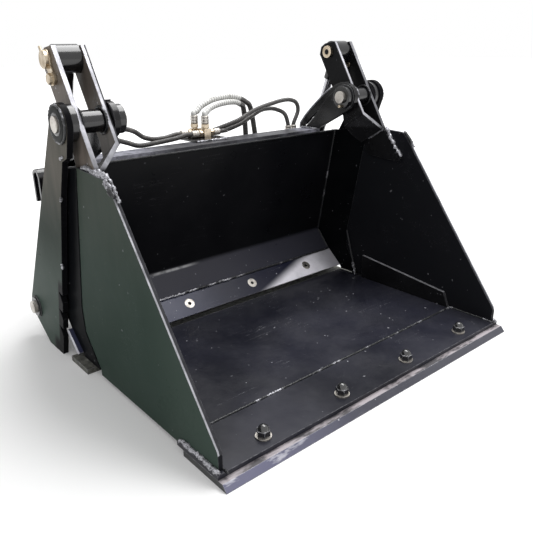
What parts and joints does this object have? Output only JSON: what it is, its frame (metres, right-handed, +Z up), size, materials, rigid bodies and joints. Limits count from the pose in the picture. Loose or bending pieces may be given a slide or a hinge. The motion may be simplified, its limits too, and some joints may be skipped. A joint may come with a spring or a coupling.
{
  "type": "combination bucket",
  "caption": "Black steel combination bucket for a compact loader: a clam front hinged on a rear blade section, opened by a hydraulic cylinder on each side",
  "frame": {"origin": "middle of the footprint, on the ground", "axes": "+X along the cutting edge, +Y from the cutting edge towards the loader, +Z up"},
  "size_m": [1.184, 1.085, 0.8881],
  "materials": {
    "black_paint": "gloss",
    "side_paint": "gloss",
    "worn_paint": "satin",
    "edge_steel": "worn",
    "zinc_yellow": "satin",
    "steel": "satin",
    "dark_steel": "satin",
    "chrome": "polished",
    "hose_rubber": "matte",
    "hose_sleeve": "matte"
  },
  "bodies": {
    "root": {"mouldboard": "black_paint", "top_flange": "black_paint", "wing_plates": "side_paint", "end_plates": "side_paint", "end_packers": "black_paint", "end_bosses": "black_paint", "lower_collars": "black_paint", "hinge_ears": "black_paint", "hinge_bosses": "black_paint", "rear_blade": "worn_paint", "blade_screws": "steel", "blade_nuts": "steel", "main_pins": "zinc_yellow", "pin_keepers": "zinc_yellow", "cylinder_pins": "zinc_yellow", "pin_spacers": "black_paint", "rear_ribs": "black_paint", "attach_plate": "black_paint", "hose_shelf": "black_paint", "hose_tees": "zinc_yellow", "hose_ferrules": "steel", "jumper_right_a": "hose_rubber", "jumper_right_b": "hose_rubber", "jumper_left_a": "hose_rubber", "jumper_left_b": "hose_rubber", "supply_hose_a": "hose_sleeve", "supply_hose_b": "hose_sleeve", "port_blocks": "black_paint", "port_fittings": "zinc_yellow", "coupler_bracket": "black_paint", "couplers": "steel"},
    "clam": {"side_plates": "side_paint", "floor_sheet": "worn_paint", "base_lip": "worn_paint", "cutting_edge": "edge_steel", "edge_bolts": "dark_steel", "edge_washers": "zinc_yellow", "edge_nuts": "dark_steel", "heel_bar": "edge_steel", "inner_gussets": "black_paint", "outer_ears": "black_paint", "inner_ears": "black_paint", "pivot_tubes": "black_paint", "top_pins": "zinc_yellow", "pin_flags": "zinc_yellow", "flag_bolts": "zinc_yellow"},
    "cylinder_left": {"barrel_left": "black_paint", "gland_left": "black_paint", "base_eye_left": "black_paint"},
    "piston_left": {"rod_left": "chrome", "rod_eye_left": "black_paint"},
    "cylinder_right": {"barrel_right": "black_paint", "gland_right": "black_paint", "base_eye_right": "black_paint"},
    "piston_right": {"rod_right": "chrome", "rod_eye_right": "black_paint"}
  },
  "joints": [
    {"name": "clam_hinge", "type": "hinge", "parent": "root", "child": "clam", "pos_m": [0, 0.0655, 0.708], "axis": [-1, 0, 0], "range_deg": [0, 45]},
    {"name": "cylinder_pin_left", "type": "hinge", "parent": "root", "child": "cylinder_left", "pos_m": [-0.494, 0.4425, 0.105], "axis": [-1, 0, 0], "range_deg": [-0.5, 4]},
    {"name": "rod_stroke_left", "type": "slide", "parent": "cylinder_left", "child": "piston_left", "axis": [0, -0.3464, 0.9381], "range_m": [-0.14, 0.004]},
    {"name": "cylinder_pin_right", "type": "hinge", "parent": "root", "child": "cylinder_right", "pos_m": [0.494, 0.4425, 0.105], "axis": [-1, 0, 0], "range_deg": [-0.5, 4]},
    {"name": "rod_stroke_right", "type": "slide", "parent": "cylinder_right", "child": "piston_right", "axis": [0, -0.3464, 0.9381], "range_m": [-0.14, 0.004]}
  ],
  "couplings": [
    {"joint": "cylinder_pin_left", "follows": "clam_hinge", "ratio": 0.06992},
    {"joint": "rod_stroke_left", "follows": "clam_hinge", "m_per_rad": -0.16452},
    {"joint": "cylinder_pin_right", "follows": "clam_hinge", "ratio": 0.06992},
    {"joint": "rod_stroke_right", "follows": "clam_hinge", "m_per_rad": -0.16452}
  ]
}
